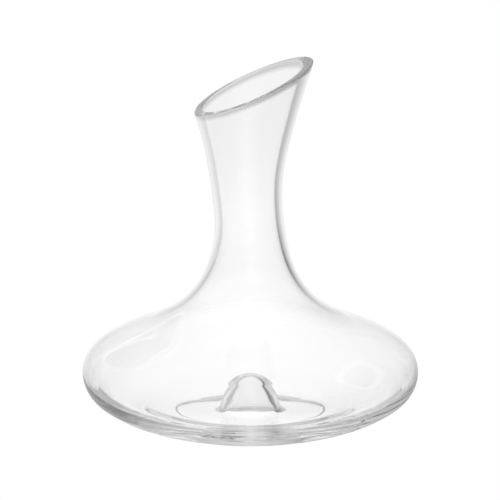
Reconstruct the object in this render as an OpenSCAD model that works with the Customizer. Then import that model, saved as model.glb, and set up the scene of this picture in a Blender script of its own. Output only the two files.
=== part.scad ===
// Slant-mouthed wine decanter, blown from one piece of clear glass.
// It stands free on a narrow bearing ring. A low, very wide bowl sweeps up through a
// concave shoulder into an hourglass neck, which flares to a mouth cut on a slant.
// The floor is thick and carries a tall hollow punt. Each zone of the glass is a node.
// Origin: centre of the bearing ring, on the table. +Z is up, +X is the pouring side.
// The wall follows stations of [radius, height, direction of travel], joined in pairs
// by two tangent arcs. The inside follows the same stations, moved in by the wall.

/* [Bowl] */
// Greatest outside diameter of the bowl
bowl_d = 220; // [200:1:240]
// Height of the greatest diameter
bowl_h = 33.5; // [30:0.5:38]
// Height at which the bowl turns over into the shoulder
turn_h = 53.5; // [52:0.5:56]
// How far inside the greatest diameter it turns over
turn_in = 15; // [13:0.5:17]
// Slope of the shoulder where it leaves the bowl
turn_slope = 27.4; // [24:0.1:30]

/* [Neck] */
// Diameter where the shoulder sweeps up into the neck
sweep_d = 94; // [88:1:100]
// Height of that place
sweep_h = 79.8; // [77:0.2:83]
// Slope of the shoulder there
sweep_slope = 40; // [36:0.5:44]
// Outside diameter of the waist
waist_d = 45; // [42:0.5:50]
// Height of the waist
waist_h = 141; // [136:1:148]
// How far the neck sets the mouth to the low side
neck_offset = 2.7; // [0:0.1:4]

/* [Mouth] */
// Height of the pouring tip, the highest point
overall_h = 245; // [235:1:255]
// Outside diameter of the flare at the height of the tip
flare_d = 88.4; // [80:0.2:96]
// Angle of the flare from upright at the tip
flare_a = 17; // [14:0.5:20]
// Slant of the mouth from level
slant_a = 24; // [16:0.5:28]
// Depth of the fire-polished lip
lip_h = 4.5; // [3.5:0.5:7]
// Rounding of the lip's edges
lip_r = 1.5; // [0.8:0.1:2]

/* [Glass] */
// Wall at the tip of the mouth
tip_wall = 6.2; // [5:0.1:7]
// Wall at the waist
waist_wall = 5; // [4:0.1:6]
// Wall where the shoulder sweeps up
sweep_wall = 3.8; // [3:0.1:4.6]
// Wall where the bowl turns over
turn_wall = 2.5; // [2.2:0.1:3.2]
// Wall at the greatest diameter
bowl_wall = 2.2; // [2:0.1:3]
// Wall at the heel, under the bowl's side
heel_wall = 7.5; // [6.5:0.1:8.5]
// Height of the floor over the bearing ring
ring_floor_h = 10.6; // [10:0.1:11.2]
// Slope of the floor there, rising outwards
floor_slope = 9; // [6:0.5:12]
// Height of the floor at the foot of the punt
floor_h = 9; // [8:0.1:9.8]

/* [Base] */
// Diameter of the bearing ring, the edge it stands on
ring_d = 104.6; // [98:0.2:110]
// Width of the bearing ring's flat
ring_w = 2; // [1.5:0.1:3]
// Slope of the underside just outside the ring
ring_slope = 6; // [2:0.5:10]
// Rise of the underside inside the ring
dish_h = 2; // [1:0.1:3]
// Width of the step up to it
dish_step = 2; // [1.5:0.1:4]
// Diameter at which the heel starts to rise steadily
heel_d = 170; // [160:1:176]
// Height of the outside there
heel_h = 8.8; // [8.2:0.1:9.4]
// Slope of the outside there
heel_slope = 20; // [18:0.5:23]

/* [Punt] */
// Height of the punt inside the bowl, above the table
punt_h = 33; // [32:0.5:38]
// Diameter of the punt's foot on the floor
punt_d = 46; // [44:0.5:50]
// Diameter just over the fillet at its foot
punt_side_d = 39.6; // [38:0.2:41]
// Height of that place
punt_side_h = 11.8; // [11.4:0.1:12.6]
// Diameter of the punt halfway up
punt_mid_d = 34.8; // [33:0.2:36.6]
// Height of that place
punt_mid_h = 19.5; // [18:0.5:21]
// Height of the hollow under the punt
hollow_h = 29.5; // [27:0.1:30]
// Diameter of the hollow's mouth
hollow_d = 50; // [48:0.5:54]
// Diameter of the hollow halfway up
hollow_mid_d = 23.6; // [20:0.2:25]
// Height of that place
hollow_mid_h = 19; // [17:0.5:21]

/* [Hidden] */
// Facets round the axis in the preview mesh
round_fn = 240;
// Largest turn and length of one step along an arc
step_a = 3;
step_l = 4;
// Facets of the lip round the axis and over each of its rounded edges
lip_fn = 96;
lip_steps = 4;
// An arc flatter than this radius counts as straight
straight_r = 20000;
// More than the object's own radius and height
big = 300;

// Heights of the joints between the zones
heel_top = 14;
neck_foot = 122;
neck_top = 168;
// Radius where the bearing ring meets the heel
ring_reach = ring_d / 2 + 3;

// Stations of the outside, from the bearing ring up
outside = [
    [ring_d / 2, 0, ring_slope],
    [heel_d / 2, heel_h, heel_slope],
    [bowl_d / 2, bowl_h, 90],
    [bowl_d / 2 - turn_in, turn_h, 180 - turn_slope],
    [sweep_d / 2, sweep_h, 180 - sweep_slope],
    [waist_d / 2, waist_h, 90],
    [flare_d / 2, overall_h, 90 - flare_a],
];
// Walls at the stations above the bearing ring
walls = [heel_wall, bowl_wall, turn_wall, sweep_wall, waist_wall, tip_wall];
// Stations of the inside, from the foot of the punt up
inside = concat(
    [[punt_d / 2, floor_h, 0], [ring_d / 2, ring_floor_h, floor_slope]],
    [for (i = [1:len(outside) - 1]) inward(outside[i], walls[i - 1])]
);

// Stations of the punt's upper face, from its foot on the floor to its apex
punt_top = [
    [punt_d / 2, floor_h, 180],
    [punt_side_d / 2, punt_side_h, 104],
    [punt_mid_d / 2, punt_mid_h, 109],
    [0, punt_h, 180],
];
// Stations of the step inside the bearing ring
dish = [
    [ring_d / 2 - ring_w, 0, 110],
    [ring_d / 2 - ring_w - dish_step, dish_h, 180],
];
// Stations of the hollow, from the dish to its apex
hollow = [
    [hollow_d / 2, dish_h, 180],
    [hollow_mid_d / 2, hollow_mid_h, 118],
    [0, hollow_h, 180],
];

// The last arcs of the outside and the inside, where the lip lies
outer_flare = top_arc(outside);
inner_flare = top_arc(inside);
// Where the pouring tip lies along X
tip_x = flare_d / 2 - neck_offset;
// Lean that carries the neck from the bowl's axis to the mouth's. At a joint the wall
// is a cone, so a leaning ring sits off its axis by its radius times its flare.
foot_shift = cone_shift(neck_foot);
top_shift = cone_shift(neck_top);
neck_lean = atan(neck_offset / (neck_top - neck_foot + top_shift - foot_shift));

// A station moved at right angles into the glass
function inward(s, t) = [s[0] - t * sin(s[2]), s[1] + t * cos(s[2]), s[2]];

function heading(a) = [cos(a), sin(a)];

// The arc between a and b that has heading t at its end p: [a, b, centre, radius].
// The radius is negative where the wall is hollow, with the centre outside it.
function bend(a, b, p, t) =
    let (n = [-t[1], t[0]], w = a + b - 2 * p, s = w * w / (2 * (n * w)))
    [a, b, p + s * n, s];

// The two tangent arcs that join station p to station q
function arcs(p, q) =
    let (
        a = [p[0], p[1]],
        b = [q[0], q[1]],
        ta = heading(p[2]),
        tb = heading(q[2]),
        v = b - a,
        vt = v * (ta + tb),
        d = v * v / (vt + sqrt(vt * vt + 2 * (1 - ta * tb) * (v * v))),
        m = (a + b + d * (ta - tb)) / 2
    )
    [bend(a, m, a, ta), bend(m, b, b, tb)];

function all_arcs(stations) =
    [for (i = [0:len(stations) - 2]) each arcs(stations[i], stations[i + 1])];
function top_arc(stations) = all_arcs(stations)[2 * len(stations) - 3];

// How far an arc turns between its ends
function turn(c) = 2 * asin(norm(c[1] - c[0]) / (2 * c[3]));

// Points along an arc from its start up to, not including, its end
function arc_points(c) =
    let (n = abs(c[3]) > straight_r ? 1 : ceil(max(
        abs(turn(c)) / step_a,
        norm(c[1] - c[0]) / step_l
    )))
    [for (k = [0:n - 1]) k == 0 ? c[0] : c[2] + spun(c[0] - c[2], turn(c) * k / n)];

function spun(v, a) = [v[0] * cos(a) - v[1] * sin(a), v[0] * sin(a) + v[1] * cos(a)];

// Points along the line through the stations
function path(stations) =
    let (all = all_arcs(stations))
    concat([for (c = all) each arc_points(c)], [all[len(all) - 1][1]]);

function reversed(v) = [for (i = [len(v) - 1:-1:0]) v[i]];

// Radius of an arc of the wall at height z
function reach(c, z) =
    abs(c[3]) > straight_r
        ? c[0][0] + (z - c[0][1]) * (c[1][0] - c[0][0]) / (c[1][1] - c[0][1])
        : c[2][0] + sign(c[3]) * sqrt(c[3] * c[3] - (z - c[2][1]) * (z - c[2][1]));

// Radius of the outside at height z, and how fast it widens there
function outer_reach(z) =
    [for (c = all_arcs(outside)) if (z > c[0][1] && z <= c[1][1]) reach(c, z)][0];
function cone_shift(z) = outer_reach(z) * (outer_reach(z + 0.5) - outer_reach(z - 0.5));

// Height of the slanted mouth at x
function mouth_h(x) = overall_h - (tip_x - x) * tan(slant_a);

// Radius at height z in the wall, from w = -1 on the inside to 1 on the outside
function wall_reach(w, z) =
    ((1 + w) * reach(outer_flare, z) + (1 - w) * reach(inner_flare, z)) / 2;

// Point of the lip at angle f and depth d below the mouth, found in n steps from z
function lip_point(f, w, d, z, n) =
    let (x = wall_reach(w, z) * cos(f) - neck_offset)
    n == 0 ? [x, wall_reach(w, z) * sin(f), z] : lip_point(f, w, d, mouth_h(x) - d, n - 1);

// Half of the upright section of the whole decanter, once round the glass
module section() {
    polygon(concat(
        path(outside),
        reversed(path(inside)),
        path(punt_top),
        reversed(path(hollow)),
        reversed(path(dish))
    ));
}

// The part of the glass from radius r0 to r1 and height z0 to z1
module zone(r0, r1, z0, z1) {
    rotate_extrude($fn = round_fn)
        intersection() {
            section();
            translate([r0, z0]) square([r1 - r0, z1 - z0]);
        }
}

// Fire-polished rim of the slanted mouth
module lip() {
    half = tip_wall / cos(flare_a) / 2;
    edge = [for (k = [0:lip_steps])
        let (a = 90 * k / lip_steps)
        [1 - lip_r * (1 - cos(a)) / half, lip_r * (1 - sin(a))]];
    profile = concat(
        [[1, lip_h]],
        edge,
        [for (k = [lip_steps:-1:0]) [-edge[k][0], edge[k][1]]],
        [[-1, lip_h]]
    );
    m = len(profile);
    points = [for (i = [0:lip_fn - 1]) for (p = profile)
        lip_point(360 * i / lip_fn, p[0], p[1], overall_h - flare_d / 4, 8)];
    faces = [for (i = [0:lip_fn - 1]) for (j = [0:m - 1])
        let (
            a = i * m + j,
            b = i * m + (j + 1) % m,
            c = (i + 1) % lip_fn * m + (j + 1) % m,
            d = (i + 1) % lip_fn * m + j
        )
        each [[a, b, c], [a, c, d]]];
    color("lightblue") polyhedron(points, faces);
}

// Upper neck, which flares to the mouth
module throat() {
    color("powderblue")
        difference() {
            translate([-neck_offset, 0, 0]) zone(0, big, neck_top, overall_h);
            translate([tip_x, 0, overall_h - lip_h])
                rotate([0, -slant_a, 0])
                    translate([-big, -big / 2, 0]) cube([2 * big, big, big]);
        }
}

// Waist of the neck, leaning from the bowl's axis to the mouth's
module neck() {
    color("paleturquoise")
        intersection() {
            translate([foot_shift * sin(neck_lean), 0, neck_foot])
                rotate([0, -neck_lean, 0])
                    translate([0, 0, -neck_foot])
                        zone(0, big, neck_foot - 4, neck_top + 4);
            translate([-big / 2, -big / 2, neck_foot])
                cube([big, big, neck_top - neck_foot]);
        }
}

// Concave sweep from the bowl up into the neck
module shoulder() {
    color("lightcyan") zone(0, big, turn_h, neck_foot);
}

// Side of the bowl, through its greatest diameter
module bowl() {
    color("azure") zone(punt_d / 2, big, heel_top, turn_h);
}

// Thick underside that rises from the bearing ring to the bowl's side
module heel() {
    color("lightsteelblue") zone(ring_reach, big, 0, heel_top);
}

// Floor inside the bearing ring
module base() {
    color("lightskyblue") zone(punt_d / 2, ring_reach, dish_h, heel_top);
}

// Narrow flat edge that the decanter stands on
module bearing_ring() {
    color("cadetblue") zone(0, ring_reach, 0, dish_h);
}

// Tall dome in the middle of the floor, hollow from below
module punt() {
    color("skyblue") zone(0, punt_d / 2, dish_h, punt_h);
}

lip();
throat();
neck();
shoulder();
bowl();
heel();
base();
bearing_ring();
punt();
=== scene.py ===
"""Wine decanter: one piece of clear blown glass, on a pale studio floor."""

import math

import bpy
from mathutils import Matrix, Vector


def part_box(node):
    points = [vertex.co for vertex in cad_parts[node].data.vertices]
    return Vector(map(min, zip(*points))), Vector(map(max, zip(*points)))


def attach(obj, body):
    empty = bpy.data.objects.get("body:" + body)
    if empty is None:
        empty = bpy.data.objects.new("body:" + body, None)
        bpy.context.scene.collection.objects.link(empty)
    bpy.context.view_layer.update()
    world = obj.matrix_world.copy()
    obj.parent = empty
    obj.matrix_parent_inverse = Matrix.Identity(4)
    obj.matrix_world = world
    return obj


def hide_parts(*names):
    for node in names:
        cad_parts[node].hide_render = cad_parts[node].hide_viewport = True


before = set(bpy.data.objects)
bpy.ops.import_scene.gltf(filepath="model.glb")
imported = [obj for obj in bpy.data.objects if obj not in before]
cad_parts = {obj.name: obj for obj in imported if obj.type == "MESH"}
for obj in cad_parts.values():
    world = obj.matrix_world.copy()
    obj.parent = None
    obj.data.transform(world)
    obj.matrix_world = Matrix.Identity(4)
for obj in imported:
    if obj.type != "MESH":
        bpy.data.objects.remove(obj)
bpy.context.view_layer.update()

MM = 0.001

# ---------------------------------------------------------------------------
# Sizes, in millimetres. What the frame's boxes give comes from them; the other
# stations of the wall repeat the design's.
# ---------------------------------------------------------------------------


def box_mm(node):
    lo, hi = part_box(node)
    return [v / MM for v in lo], [v / MM for v in hi]


BOWL_R = min(min(box_mm("bowl")[1][:2]), -max(box_mm("bowl")[0][:2]))
TURN_H = box_mm("bowl")[1][2]
NECK_FOOT, NECK_TOP = box_mm("neck")[0][2], box_mm("neck")[1][2]
PUNT_R, PUNT_H = box_mm("punt")[1][0], box_mm("punt")[1][2]
# The ring's zone ends 3 mm outside the edge that it stands on
RING_R = box_mm("bearing_ring")[1][0] - 3
DISH_H = box_mm("bearing_ring")[1][2]
OVERALL_H = 245.0

BOWL_H = 33.5
WAIST_R, WAIST_H = 22.5, 141.0
FLARE_R, FLARE_A = 44.2, 17.0
SLANT_A = 24.0
NECK_OFFSET = 2.7
TIP_WALL = 6.2
FLOOR_T, RING_FLOOR_T, FLOOR_SLOPE = 9.0, 10.6, 9
RING_W, RING_SLOPE, DISH_STEP = 2.0, 6, 2.0
PUNT_TOP = [(PUNT_R, FLOOR_T, 180), (19.8, 11.8, 104), (17.4, 19.5, 109), (0, PUNT_H, 180)]
HOLLOW_H, HOLLOW_R, HOLLOW_MID_R, HOLLOW_MID_H = 29.5, 25.0, 11.8, 19.0
LIP_R = 1.5

# [radius, height, direction of travel] along the outside, from the ring up
OUTSIDE = [
    (RING_R, 0, RING_SLOPE),
    (85, 8.8, 20),
    (BOWL_R, BOWL_H, 90),
    (BOWL_R - 15, TURN_H, 180 - 27.4),
    (47, 79.8, 180 - 40),
    (WAIST_R, WAIST_H, 90),
    (FLARE_R, OVERALL_H, 90 - FLARE_A),
]
WALLS = [0, 7.5, 2.2, 2.5, 3.8, 5, TIP_WALL]

# The neck's axis moves over between these heights, on a smooth curve
BEND_FROM, BEND_TO = NECK_FOOT - 3, NECK_TOP + 3

# The mesh: points round the axis, the longest turn (degrees) and step along a wall's
# arc, the step along the small dish, and rows across the parts that have no arcs
SEGMENTS = 240
ANGLES = [2 * math.pi * i / SEGMENTS for i in range(SEGMENTS)]
STEP_A, STEP_L, DISH_STEP_L = 1.6, 1.8, 0.4
FLAT_ROWS, LIP_ROWS, EDGE_ROWS, THROAT_ROWS = 6, 6, 7, 26
# Rounds in which the slanted mouth's height is found
SETTLE = 12


# ---------------------------------------------------------------------------
# The wall's line: stations joined in pairs by two tangent arcs
# ---------------------------------------------------------------------------


def vec(a):
    """The unit vector (radius, height) of a heading in degrees."""
    return Vector((math.cos(math.radians(a)), math.sin(math.radians(a))))


def inward(station, wall):
    """The inside's station across the wall from one outside."""
    r, z, a = station
    return (r - wall * vec(a).y, z + wall * vec(a).x, a)


def bend(a, b, p, t):
    """(start, end, centre, signed radius) of the arc a-b with heading t at p."""
    n = Vector((-t.y, t.x))
    w = a + b - 2 * p
    s = w.dot(w) / (2 * n.dot(w))
    return a, b, p + s * n, s


def arcs(p, q):
    """The two tangent arcs that join station p to station q."""
    a, b, ta, tb = Vector(p[:2]), Vector(q[:2]), vec(p[2]), vec(q[2])
    v = b - a
    vt = v.dot(ta + tb)
    root = math.sqrt(vt * vt + 2 * (1 - ta.dot(tb)) * v.dot(v))
    d = v.dot(v) / (vt + root)
    m = (a + b + d * (ta - tb)) / 2
    return [bend(a, m, a, ta), bend(m, b, b, tb)]


def all_arcs(stations):
    return [c for p, q in zip(stations, stations[1:]) for c in arcs(p, q)]


def path(stations, step_l=STEP_L):
    """Points along the arcs that join the stations."""
    points = []
    for a, b, centre, radius in all_arcs(stations):
        turn = 2 * math.asin((b - a).length / (2 * radius))
        n = math.ceil(max(abs(math.degrees(turn)) / STEP_A, (b - a).length / step_l))
        for k in range(n):
            c, s = math.cos(turn * k / n), math.sin(turn * k / n)
            v = a - centre
            points.append(centre + Vector((v.x * c - v.y * s, v.x * s + v.y * c)))
    return points + [b]


def reach(arc, z):
    """The wall's radius on an arc at height z."""
    _, _, centre, radius = arc
    side = math.copysign(1, radius)
    return centre.x + side * math.sqrt(radius**2 - (z - centre.y) ** 2)


INSIDE = [(PUNT_R, FLOOR_T, 0), (RING_R, RING_FLOOR_T, FLOOR_SLOPE)] + [
    inward(s, w) for s, w in zip(OUTSIDE[1:], WALLS[1:])
]
# The arcs above the waist, where the wall's radius is a function of height
OUTER_NECK, INNER_NECK = all_arcs(OUTSIDE)[-2:], all_arcs(INSIDE)[-2:]
TIP_X = FLARE_R - NECK_OFFSET


def axis_x(z):
    """Where the glass's own axis lies along X at height z."""
    u = min(max((z - BEND_FROM) / (BEND_TO - BEND_FROM), 0), 1)
    return -NECK_OFFSET * u * u * (3 - 2 * u)


def mouth_h(x):
    """Height of the slanted mouth's plane at x."""
    return OVERALL_H - (TIP_X - x) * math.tan(math.radians(SLANT_A))


def wall_reach(w, z):
    """Radius at height z in the wall, from w = -1 inside to 1 outside."""
    outer, inner = (
        reach(low if z < low[1].y else high, z) for low, high in (OUTER_NECK, INNER_NECK)
    )
    return ((1 + w) * outer + (1 - w) * inner) / 2


def lip_rz(angle, w, d):
    """(radius, height) in the wall at an angle, d below the slanted mouth."""
    z = OVERALL_H - FLARE_R / 2
    for _ in range(SETTLE):
        z = mouth_h(wall_reach(w, z) * math.cos(angle) - NECK_OFFSET) - d
    return wall_reach(w, z), z


# ---------------------------------------------------------------------------
# The mesh: rows of points round the axis, from the hollow's apex under the punt
# out and up the outside, over the lip, and down the inside to the punt's apex
# ---------------------------------------------------------------------------


def level_rows(points):
    """Level rows round the axis through points of the wall's line."""
    return [
        [(r * math.cos(f) + axis_x(z), r * math.sin(f), z) for f in ANGLES]
        for r, z in points
    ]


def slanted_row(w, d, share=1.0):
    """A row d below the mouth, or only a share of the way up to there."""
    row = []
    for f in ANGLES:
        r, z = lip_rz(f, w, d)
        if share < 1:
            z = BEND_TO + (z - BEND_TO) * share
            r = wall_reach(w, z)
        row.append((r * math.cos(f) - NECK_OFFSET, r * math.sin(f), z))
    return row


def underside():
    """From the hollow's apex over the flat and the dish to the ring's inner edge."""
    hollow = path(
        [(HOLLOW_R, DISH_H, 180), (HOLLOW_MID_R, HOLLOW_MID_H, 118), (0, HOLLOW_H, 180)]
    )
    ring_in = RING_R - RING_W
    dish_r = ring_in - DISH_STEP
    dish = path([(ring_in, 0, 110), (dish_r, DISH_H, 180)], DISH_STEP_L)
    shares = [k / FLAT_ROWS for k in range(1, FLAT_ROWS)]
    flat = [(HOLLOW_R + (dish_r - HOLLOW_R) * share, DISH_H) for share in shares]
    return level_rows(hollow[-2::-1] + flat + dish[::-1])


def mouth():
    """From where the rows start to slant, up over the rounded lip and back down."""
    half = TIP_WALL / math.cos(math.radians(FLARE_A)) / 2
    edge = []
    for k in range(EDGE_ROWS + 1):
        a = math.pi / 2 * k / EDGE_ROWS
        edge.append((1 - LIP_R * (1 - math.cos(a)) / half, LIP_R * (1 - math.sin(a))))
    across = [edge[-1][0] * (1 - 2 * k / LIP_ROWS) for k in range(1, LIP_ROWS)]
    shares = [k / THROAT_ROWS for k in range(THROAT_ROWS)]
    rows = [slanted_row(1, LIP_R, share) for share in shares]
    rows += [slanted_row(w, d) for w, d in edge]
    rows += [slanted_row(w, 0) for w in across]
    rows += [slanted_row(-w, d) for w, d in reversed(edge)]
    rows += [slanted_row(-1, LIP_R, share) for share in reversed(shares)]
    return rows


def skin(rows):
    """The faces of a closed skin from one apex, over the rows, to the other apex."""
    n = SEGMENTS
    faces = [(0, 1 + (i + 1) % n, 1 + i) for i in range(n)]
    for j in range(len(rows) - 1):
        a, b = 1 + j * n, 1 + (j + 1) * n
        faces += [(a + i, a + (i + 1) % n, b + (i + 1) % n, b + i) for i in range(n)]
    a, last = 1 + (len(rows) - 1) * n, 1 + len(rows) * n
    return faces + [(a + i, a + (i + 1) % n, last) for i in range(n)]


def build_glass():
    below = underside()
    outside = level_rows(p for p in path(OUTSIDE) if p.y < BEND_TO)
    inside = level_rows(p for p in path(INSIDE)[:0:-1] if p.y < BEND_TO)
    punt = level_rows(path(PUNT_TOP)[:-1])
    rows = below + outside + mouth() + inside + punt

    verts = [(0, 0, HOLLOW_H)] + [p for row in rows for p in row] + [(0, 0, PUNT_H)]
    mesh = bpy.data.meshes.new("decanter_glass")
    mesh.from_pydata([(x * MM, y * MM, z * MM) for x, y, z in verts], [], skin(rows))
    mesh.validate()
    mesh.shade_smooth()
    # The ring's inner edge, the last row below, is the one sharp line on the glass
    sharp_row = len(below) - 1
    flags = [all((v - 1) // SEGMENTS == sharp_row for v in e.vertices) for e in mesh.edges]
    attr = mesh.attributes.new("sharp_edge", "BOOLEAN", "EDGE")
    attr.data.foreach_set("value", flags)
    obj = bpy.data.objects.new("decanter_glass", mesh)
    bpy.context.scene.collection.objects.link(obj)
    return obj


# ---------------------------------------------------------------------------
# Materials
# ---------------------------------------------------------------------------

# A fade is where it starts and ends, and the level before and after it.
# What the glass mirrors, along each axis of its direction
MIRRORED = [
    ("X", (-1.0, 0.0, 0.66, 1.0)),
    ("X", (0.0, 0.9, 1.0, 0.46)),
    ("Y", (-1.0, 0.3, 0.8, 1.0)),
    ("Z", (-0.2, 0.5, 1.0, 0.87)),
]
# All that the glass shows, mirrored or through it
SEEN = [("X", (0.4, 0.8, 1.0, 0.5))]
# The room over the floor's edge is dimmer than the floor
ROOM_LEVEL = 0.8
# A dark round panel up on the left that the shoulder mirrors: the fades to its bright
# edge and to its inside, by how nearly a direction points at its middle
PANEL = (-0.36, 0.78, 0.51)
PANEL_EDGE = (0.974, 0.978, 1.0, 1.55)
PANEL_INSIDE = (0.981, 0.984, 1.0, 0.45)
# By distance from the decanter's axis, in metres: the light over the floor, and the
# shade under the decanter as its heel mirrors it
POOL = (0.15, 1.0, 1.1, 0.95)
SHADE = (0.06, 0.125, 0.78, 1.0)

# The glass's refraction, and its own grey in the wall; painted shade in the lip: a grey
# for the room's dark edges that the lip mirrors, darker towards +X by a fade along X;
# and the heights over the mouth's plane between which the wall's grey becomes the lip's
IOR = 1.5
WALL_GREY = 0.99
LIP_PAINTED_SHADE = (-0.02, 0.04, 0.58, 0.4)
LIP_SHADE_FROM, LIP_SHADE_TO = -0.005, -0.001
SHADOW_GREY = (0.93, 0.93, 0.93, 1)
# Waves per metre, their detail and their height: rings round the foot, which fade with
# height, and soft waves everywhere
RING_WAVES, RING_DETAIL, RING_HEIGHT = 140.0, 3.0, 0.00005
RING_FADE = (0.006, 0.03, 1.0, 0.12)
SOFT_WAVES, SOFT_DETAIL, SOFT_HEIGHT = 14.0, 1.0, 0.00005
# The polish: its patches per metre, their detail, and the roughness by their noise
POLISH_WAVES, POLISH_DETAIL = 9.0, 4.0
POLISH = (0.45, 0.75, 0.0, 0.01)


def new_material(name):
    mat = bpy.data.materials.new(name)
    mat.use_nodes = True
    tree = mat.node_tree
    tree.nodes.clear()
    return mat, tree


def node(tree, kind, **settings):
    made = tree.nodes.new(kind)
    for name, value in settings.items():
        setattr(made, name, value)
    return made


def put(tree, socket, value):
    """Give a socket a constant, or a link from another node's output."""
    if hasattr(value, "node"):
        tree.links.new(value, socket)
    else:
        socket.default_value = value


def maths(tree, operation, *values):
    made = node(tree, "ShaderNodeMath", operation=operation)
    for socket, value in zip(made.inputs, values):
        put(tree, socket, value)
    return made.outputs[0]


def vector_maths(tree, operation, *values):
    made = node(tree, "ShaderNodeVectorMath", operation=operation)
    for socket, value in zip(made.inputs, values):
        put(tree, socket, value)
    return made.outputs[1 if operation in ("LENGTH", "DOT_PRODUCT") else 0]


def split(tree, vector):
    made = node(tree, "ShaderNodeSeparateXYZ")
    put(tree, made.inputs[0], vector)
    return made.outputs


def fade(tree, value, start, end, low, high):
    """A smooth step of the value from low, up to start, to high, from end on."""
    made = node(tree, "ShaderNodeMapRange", interpolation_type="SMOOTHSTEP")
    names = ("Value", "From Min", "From Max", "To Min", "To Max")
    for name, v in zip(names, (value, start, end, low, high)):
        put(tree, made.inputs[name], v)
    return made.outputs[0]


def noise(tree, vector, scale, detail):
    made = node(tree, "ShaderNodeTexNoise")
    for name, v in zip(("Vector", "Scale", "Detail"), (vector, scale, detail)):
        put(tree, made.inputs[name], v)
    return made.outputs["Fac"]


def bump(tree, height, distance, normal=None):
    made = node(tree, "ShaderNodeBump")
    put(tree, made.inputs["Height"], height)
    put(tree, made.inputs["Distance"], distance)
    if normal:
        put(tree, made.inputs["Normal"], normal)
    return made.outputs[0]


def glass_material():
    """Clear glass, faint waves of blowing and, low down, of spinning; painted shade on its
    lip.
    """
    mat, tree = new_material("clear_glass")
    link = tree.links.new
    place = node(tree, "ShaderNodeTexCoord").outputs["Object"]
    parts = split(tree, place)

    # Rings round the axis, which the spinning glass keeps near the foot
    from_axis = vector_maths(tree, "LENGTH", vector_maths(tree, "MULTIPLY", place, (1, 1, 0)))
    section = node(tree, "ShaderNodeCombineXYZ")
    link(from_axis, section.inputs[0])
    link(parts["Z"], section.inputs[1])
    rings = noise(tree, section.outputs[0], RING_WAVES, RING_DETAIL)
    rings = maths(tree, "MULTIPLY", rings, fade(tree, parts["Z"], *RING_FADE))
    soft = bump(tree, noise(tree, place, SOFT_WAVES, SOFT_DETAIL), SOFT_HEIGHT)
    polish = noise(tree, place, POLISH_WAVES, POLISH_DETAIL)

    # Height over the slanted mouth, at right angles to it
    slant = math.radians(SLANT_A)
    from_tip = vector_maths(tree, "SUBTRACT", place, (TIP_X * MM, 0, OVERALL_H * MM))
    upright = (-math.sin(slant), 0, math.cos(slant))
    over = vector_maths(tree, "DOT_PRODUCT", from_tip, upright)
    # Painted shade: the lip's glass turns grey, darker towards +X, standing in for dark
    # reflections
    lip_painted_shade = fade(tree, parts["X"], *LIP_PAINTED_SHADE)
    tint_and_lip_shade = fade(tree, over, LIP_SHADE_FROM, LIP_SHADE_TO, WALL_GREY, lip_painted_shade)

    bsdf = node(tree, "ShaderNodeBsdfPrincipled")
    bsdf.inputs["IOR"].default_value = IOR
    bsdf.inputs["Transmission Weight"].default_value = 1.0
    link(tint_and_lip_shade, bsdf.inputs["Base Color"])
    link(fade(tree, polish, *POLISH), bsdf.inputs["Roughness"])
    link(bump(tree, rings, RING_HEIGHT, soft), bsdf.inputs["Normal"])

    # Light passes nearly straight on where a ray only asks for shadow
    clear = node(tree, "ShaderNodeBsdfTransparent")
    clear.inputs["Color"].default_value = SHADOW_GREY
    mix = node(tree, "ShaderNodeMixShader")
    out = node(tree, "ShaderNodeOutputMaterial")
    link(node(tree, "ShaderNodeLightPath").outputs["Is Shadow Ray"], mix.inputs[0])
    link(bsdf.outputs[0], mix.inputs[1])
    link(clear.outputs[0], mix.inputs[2])
    link(mix.outputs[0], out.inputs["Surface"])
    return mat


def fades(tree, direction, levels):
    """The product of the fades along the axes of a direction."""
    parts = split(tree, vector_maths(tree, "NORMALIZE", direction))
    product = 1.0
    for axis, values in levels:
        product = maths(tree, "MULTIPLY", product, fade(tree, parts[axis], *values))
    return product


def studio_level(tree, direction, seen_direction, shade=1.0):
    """The studio's brightness in a direction, with MIRRORED, the panel and the shade
    only where the glass mirrors it."""
    ray = node(tree, "ShaderNodeLightPath")
    is_mirrored = maths(tree, "MINIMUM", ray.outputs["Glossy Depth"], 1.0)
    unit = vector_maths(tree, "NORMALIZE", direction)
    toward = vector_maths(tree, "DOT_PRODUCT", unit, PANEL)
    edge, inside = (fade(tree, toward, *levels) for levels in (PANEL_EDGE, PANEL_INSIDE))
    panel = maths(tree, "MULTIPLY", edge, inside)
    room = maths(tree, "MULTIPLY", fades(tree, direction, MIRRORED), panel)
    mirrored = maths(tree, "POWER", maths(tree, "MULTIPLY", room, shade), is_mirrored)
    return maths(tree, "MULTIPLY", fades(tree, seen_direction, SEEN), mirrored)


def white_behind(tree, level):
    """The level as the glass shows it, and plain white where nothing is in front."""
    bare = node(tree, "ShaderNodeLightPath").outputs["Is Camera Ray"]
    return fade(tree, bare, 0, 1, level, 1.0)


def floor_material():
    """A floor that gives its own light, so that the decanter throws no shadow on it."""
    mat, tree = new_material("studio_floor")
    link = tree.links.new
    glow = node(tree, "ShaderNodeEmission")
    place = node(tree, "ShaderNodeNewGeometry").outputs["Position"]
    from_above = vector_maths(tree, "SUBTRACT", place, (0, 0, 1))
    distance = vector_maths(tree, "LENGTH", place)
    level = studio_level(tree, place, from_above, fade(tree, distance, *SHADE))
    lit = maths(tree, "MULTIPLY", level, fade(tree, distance, *POOL))
    link(white_behind(tree, lit), glow.inputs["Strength"])
    out = node(tree, "ShaderNodeOutputMaterial")
    link(glow.outputs[0], out.inputs["Surface"])
    return mat


# ---------------------------------------------------------------------------
# Stage
# ---------------------------------------------------------------------------

# Half the floor's width, and how far under the decanter it lies, in metres
FLOOR_REACH, FLOOR_GAP = 12.0, 0.0002
# The camera: its angle above level, distance, aim, picture width and scale at the aim
CAMERA_A, CAMERA_D = 16, 6.0
AIM = (-0.0002, 0, 0.1164)
PICTURE_W, PICTURE_MM = 500, 0.6536
SENSOR_W = 36
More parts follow.
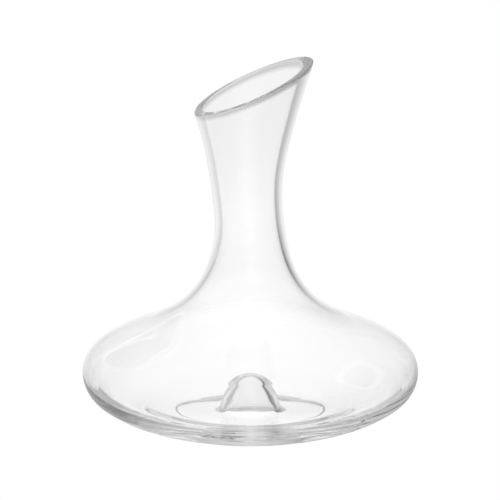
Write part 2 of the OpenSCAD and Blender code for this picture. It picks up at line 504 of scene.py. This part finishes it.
# Light piped round in the thick heel meets the wall many times before it leaves
BOUNCES = 96


def make_floor():
    mesh = bpy.data.meshes.new("studio_floor")
    far = FLOOR_REACH
    corners = [(-far, -far, 0), (far, -far, 0), (far, far, 0), (-far, far, 0)]
    mesh.from_pydata(corners, [], [(0, 1, 2, 3)])
    obj = bpy.data.objects.new("studio_floor", mesh)
    bpy.context.scene.collection.objects.link(obj)
    obj.location.z = -FLOOR_GAP
    obj.data.materials.append(floor_material())


def make_world():
    world = bpy.data.worlds.new("studio")
    bpy.context.scene.world = world
    world.use_nodes = True
    tree = world.node_tree
    tree.nodes.clear()
    link = tree.links.new
    coord = node(tree, "ShaderNodeTexCoord").outputs["Generated"]
    bg = node(tree, "ShaderNodeBackground")
    bg.inputs["Color"].default_value = (1, 1, 1, 1)
    out = node(tree, "ShaderNodeOutputWorld")
    lit = maths(tree, "MULTIPLY", studio_level(tree, coord, coord), ROOM_LEVEL)
    link(white_behind(tree, lit), bg.inputs["Strength"])
    link(bg.outputs[0], out.inputs["Surface"])


def make_camera():
    elevation = math.radians(CAMERA_A)
    back = Vector((0, -math.cos(elevation), math.sin(elevation)))
    data = bpy.data.cameras.new("camera")
    data.sensor_width = SENSOR_W
    data.lens = SENSOR_W * CAMERA_D / (PICTURE_W * PICTURE_MM * MM)
    data.clip_end = 50
    obj = bpy.data.objects.new("camera", data)
    bpy.context.scene.collection.objects.link(obj)
    obj.location = Vector(AIM) + back * CAMERA_D
    obj.rotation_euler = (-back).to_track_quat("-Z", "Y").to_euler()
    bpy.context.scene.camera = obj


scene = bpy.context.scene
scene.view_settings.view_transform = "Standard"
scene.cycles.max_bounces = BOUNCES
scene.cycles.transmission_bounces = BOUNCES
scene.cycles.glossy_bounces = BOUNCES

make_camera()
glass = build_glass()
glass.data.materials.append(glass_material())
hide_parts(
    "lip",
    "throat",
    "neck",
    "shoulder",
    "bowl",
    "heel",
    "base",
    "bearing_ring",
    "punt",
)
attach(glass, "root")

make_floor()
make_world()
